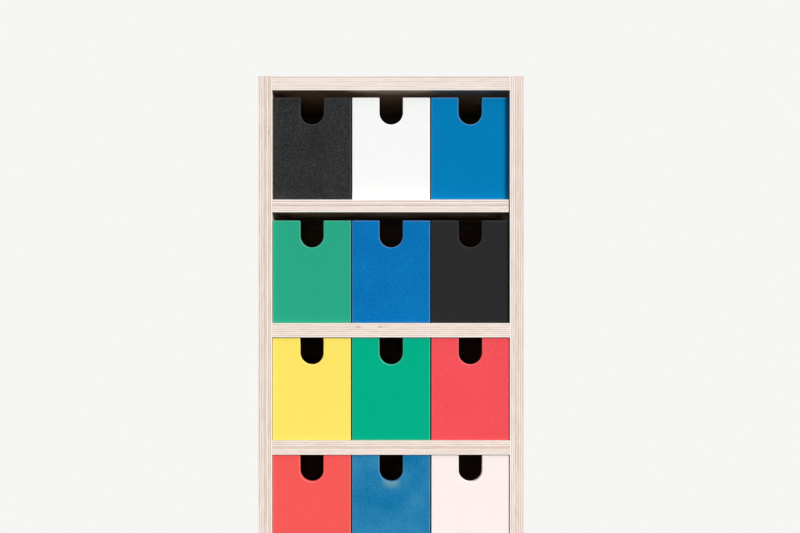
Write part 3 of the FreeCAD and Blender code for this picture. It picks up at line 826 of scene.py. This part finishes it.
def dyed_board(name, dark, pale, cloud_share, worn_at=None):
    """A board with fine flecks and broad clouds between two colours, worn pale by fingers at a place."""
    material, tree, shader, place = new_material(name)
    flecks = noise(tree, place, FLECK_SCALE, detail=3.0)
    clouds = noise(tree, place, CLOUD_SCALE, detail=3.0)
    fleck_part = math_step(tree, "MULTIPLY", flecks, 1.0 - cloud_share)
    shade = math_step(tree, "MULTIPLY_ADD", clouds, cloud_share, fleck_part)
    colour = colour_mix(tree, value_range(tree, shade, SHADE_SPAN, FADE_IN), dark, pale)
    if worn_at:
        worn = math_step(tree, "MULTIPLY", patch(tree, place, worn_at, WORN_REACH), WORN_SHARE)
        colour = colour_mix(tree, worn, colour, WORN_COLOUR)
    link_surface(tree, shader, colour, value_range(tree, flecks, NOISE_SPAN, DYED_ROUGHNESS))
    shader.inputs["Specular IOR Level"].default_value = DYED_GLOSS
    relief(tree, shader, flecks, FLECK_RELIEF, FLECK_RELIEF_STRENGTH)
    return material


def arris_highlight_colour(colour, share):
    """The same colour turned a share of the way to white: a painted highlight for the arris."""
    return tuple(channel + (1.0 - channel) * share for channel in colour)


print("dyed board recipe ready")

# %% Dyed board of each colour
FAINT_CLOUDS = 0.2
STRONG_CLOUDS = 0.5
BOARD_DYES = {
    "charcoal_board": (paint(41, 41, 41), paint(44, 44, 44), FAINT_CLOUDS),
    "charcoal_board_flecked": (paint(31, 32, 32), paint(60, 61, 61), FAINT_CLOUDS),
    "white_board": (paint(247, 247, 247), paint(250, 250, 249), FAINT_CLOUDS),
    "blue_board": (paint(1, 121, 180), paint(3, 127, 186), FAINT_CLOUDS),
    "blue_board_flecked": (paint(1, 98, 166), paint(16, 129, 197), FAINT_CLOUDS),
    "sea_green_board": (paint(41, 166, 132), paint(44, 170, 136), FAINT_CLOUDS),
    "yellow_board": (paint(253, 229, 99), paint(255, 232, 106), FAINT_CLOUDS),
    "emerald_board": (paint(1, 173, 132), paint(2, 179, 139), FAINT_CLOUDS),
    "crimson_board": (paint(239, 76, 83), paint(250, 89, 96), FAINT_CLOUDS),
    "coral_board": (paint(245, 89, 85), paint(248, 92, 89), FAINT_CLOUDS),
    "steel_blue_board": (paint(2, 111, 163), paint(54, 138, 182), STRONG_CLOUDS),
    "blush_board": (paint(252, 238, 235), paint(254, 242, 239), FAINT_CLOUDS),
}
FLECKED_FRONTS = {
    "drawer_1_left": "charcoal_board_flecked",
    "drawer_2_middle": "blue_board_flecked",
}
NOTCH_DEPTH = 34.5 * MM
# Painted highlight: the arris material is the board's colour turned this share of the way to white.
ARRIS_HIGHLIGHT_SHARE = 0.1
DARK_ARRIS_HIGHLIGHT_SHARE = 0.03


def notch_foot(drawer):
    """The lowest point of a front's finger notch."""
    low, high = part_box(drawer + "_front")
    return Vector(((low.x + high.x) / 2, low.y, high.z - NOTCH_DEPTH))


WORN_AT = {"steel_blue_board": notch_foot("drawer_4_middle")}
BOARDS = {}
ARRIS_HIGHLIGHTS = {}
for finish, (dark, pale, clouds) in BOARD_DYES.items():
    share = DARK_ARRIS_HIGHLIGHT_SHARE if finish.startswith("charcoal") else ARRIS_HIGHLIGHT_SHARE
    BOARDS[finish] = dyed_board(finish, dark, pale, clouds, WORN_AT.get(finish))
    ARRIS_HIGHLIGHTS[finish] = dyed_board(finish + "_arris", arris_highlight_colour(dark, share), arris_highlight_colour(pale, share), clouds)
SLOT_OF = {part["node"]: part["material_slot"] for part in frame["record"]["subparts"]}
FINISH_OF = {drawer: FLECKED_FRONTS.get(drawer, SLOT_OF[drawer + "_front"]) for drawer in DRAWERS}
print("dyed boards:", ", ".join(BOARDS))

# %% [markdown]
# ## Box fronts
# Each front is a thick board with a round-bottomed finger notch in its top edge. By hand you would
# saw the notch, then run sandpaper along the arris, and modelling can follow that: a cube at the
# size of the board, a boolean cut by a bar with a round end, and a small rounded bevel on every sharp
# edge. The bevel modifier puts its new faces in the second material slot, so the arris gets its
# paler colour, a painted highlight, without any selecting. One front is modelled, and the others
# are copies moved to their places.

# %% Model one front
NOTCH_HALF = 15.0 * MM
NOTCH_SIDES = 64
FRONT_ROUND = 0.9 * MM
FRONT_SEGMENTS = 3
ARRIS_SLOT = 1


def notch_cutter(low, high):
    """A bar with a round lower end, a little longer than the board is thick."""
    centre_x = (low.x + high.x) / 2
    centre_y = (low.y + high.y) / 2
    round_height = high.z - NOTCH_DEPTH + NOTCH_HALF
    length = CUTTER_LENGTHS * (high.y - low.y)
    bpy.ops.object.select_all(action="DESELECT")
    bpy.ops.mesh.primitive_cylinder_add(
        vertices=NOTCH_SIDES, radius=NOTCH_HALF, depth=length,
        location=(centre_x, centre_y, round_height), rotation=(QUARTER_TURN, 0, 0),
    )
    bar = bpy.context.object
    bpy.ops.object.transform_apply(location=True, rotation=True, scale=True)
    top = round_height + NOTCH_DEPTH
    for vertex in bar.data.vertices:
        if vertex.co.z > round_height + WELD_GAP:
            vertex.co.z = top
            vertex.co.x = centre_x + math.copysign(NOTCH_HALF, vertex.co.x - centre_x)
    return bar


def box_front(drawer):
    """The first front, modelled at its place in the tower."""
    low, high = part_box(drawer + "_front")
    front = cube_between(drawer + "_front_board", low, high)
    cutter = notch_cutter(low, high)
    cutter.data.materials.append(BOARDS[FINISH_OF[drawer]])
    front.data.materials.append(BOARDS[FINISH_OF[drawer]])
    front.data.materials.append(ARRIS_HIGHLIGHTS[FINISH_OF[drawer]])
    cut_away(front, cutter)
    round_edges(front, FRONT_ROUND, FRONT_SEGMENTS, ARRIS_SLOT)
    return front


first_front = box_front(DRAWERS[0])
print("front:", len(first_front.data.polygons), "faces")

# %% Copy the front to every box
fronts = {DRAWERS[0]: first_front}
for drawer in DRAWERS[1:]:
    front = copy_moved(first_front, drawer + "_front_board", place_between(drawer, "_front"))
    front.data.materials[0] = BOARDS[FINISH_OF[drawer]]
    front.data.materials[ARRIS_SLOT] = ARRIS_HIGHLIGHTS[FINISH_OF[drawer]]
    fronts[drawer] = front
for drawer, front in fronts.items():
    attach(front, drawer)
    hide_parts(drawer + "_front")
print("fronts:", len(fronts))

# %% [markdown]
# ## Castors and dowels
# The castors are of pressed steel with a bright zinc coat, a moulded wheel and a rubber tyre, and
# their CAD shapes are right as they are. They only need finishes. Zinc is a metal whose gloss varies
# in small cloudy patches, so noise drives its roughness more than its colour. Moulded plastic has a
# fine even texture, and rubber is matt with dust in its pores. The dowels are beech.

# %% Metal, plastic, rubber and beech
ZINC_CLOUDS = 240.0
ZINC_GRAIN = 1500.0
ZINC_DULL = paint(188, 191, 195)
ZINC_BRIGHT = paint(204, 206, 208)
ZINC_ROUGHNESS = (0.32, 0.4)
ZINC_RELIEF = 0.02 * MM
ZINC_RELIEF_STRENGTH = 0.3
WEAR_SCALE = 60.0
MOULDED_GLOSS = 0.35
MOULDED_RELIEF_STRENGTH = 0.5
MOULDINGS = {
    "wheel_plastic": (paint(62, 64, 67), paint(76, 78, 81), (0.39, 0.53), 1400.0, 0.03 * MM),
    "tyre_rubber": (paint(110, 112, 114), paint(128, 130, 132), (0.66, 0.80), 900.0, 0.06 * MM),
    "pedal_plastic": (paint(36, 37, 39), paint(46, 47, 49), (0.44, 0.58), 1400.0, 0.04 * MM),
}
BEECH_SCALES = (40.0, 900.0, 900.0)
BEECH_PALE = paint(216, 182, 142)
BEECH_DARK = paint(190, 150, 108)
BEECH_ROUGHNESS = 0.6
BEECH_RELIEF = 0.05 * MM
BEECH_RELIEF_STRENGTH = 0.4


def zinc_steel():
    """Bright zinc plate with cloudy gloss."""
    material, tree, shader, place = new_material("zinc_steel")
    clouds = noise(tree, place, ZINC_CLOUDS, detail=3.0)
    colour = colour_mix(tree, clouds, ZINC_DULL, ZINC_BRIGHT)
    link_surface(tree, shader, colour, value_range(tree, clouds, NOISE_SPAN, ZINC_ROUGHNESS))
    shader.inputs["Metallic"].default_value = 1.0
    relief(tree, shader, noise(tree, place, ZINC_GRAIN), ZINC_RELIEF, ZINC_RELIEF_STRENGTH)
    return material


def moulded(name, dark, pale, roughness, texture_scale, depth):
    """A moulded part with a fine even texture: plastic or rubber."""
    material, tree, shader, place = new_material(name)
    texture = noise(tree, place, texture_scale, detail=3.0)
    wear = noise(tree, place, WEAR_SCALE, detail=3.0)
    colour = colour_mix(tree, wear, dark, pale)
    link_surface(tree, shader, colour, value_range(tree, wear, NOISE_SPAN, roughness))
    shader.inputs["Specular IOR Level"].default_value = MOULDED_GLOSS
    relief(tree, shader, texture, depth, MOULDED_RELIEF_STRENGTH)
    return material


def beech():
    """Turned beech: short darker flecks along the dowel."""
    material, tree, shader, place = new_material("dowel_beech")
    flecks = noise(tree, vector_step(tree, "MULTIPLY", place, BEECH_SCALES), 1.0)
    tree.links.new(colour_mix(tree, flecks, BEECH_PALE, BEECH_DARK), shader.inputs["Base Color"])
    shader.inputs["Roughness"].default_value = BEECH_ROUGHNESS
    relief(tree, shader, flecks, BEECH_RELIEF, BEECH_RELIEF_STRENGTH)
    return material


HARDWARE = {"zinc_steel": zinc_steel(), "dowel_beech": beech()}
for name, recipe in MOULDINGS.items():
    HARDWARE[name] = moulded(name, *recipe)
for node, slot in SLOT_OF.items():
    if slot in HARDWARE:
        slots = frame["nodes"][node].data.materials
        slots.clear()
        slots.append(HARDWARE[slot])
print("hardware finishes:", ", ".join(HARDWARE))
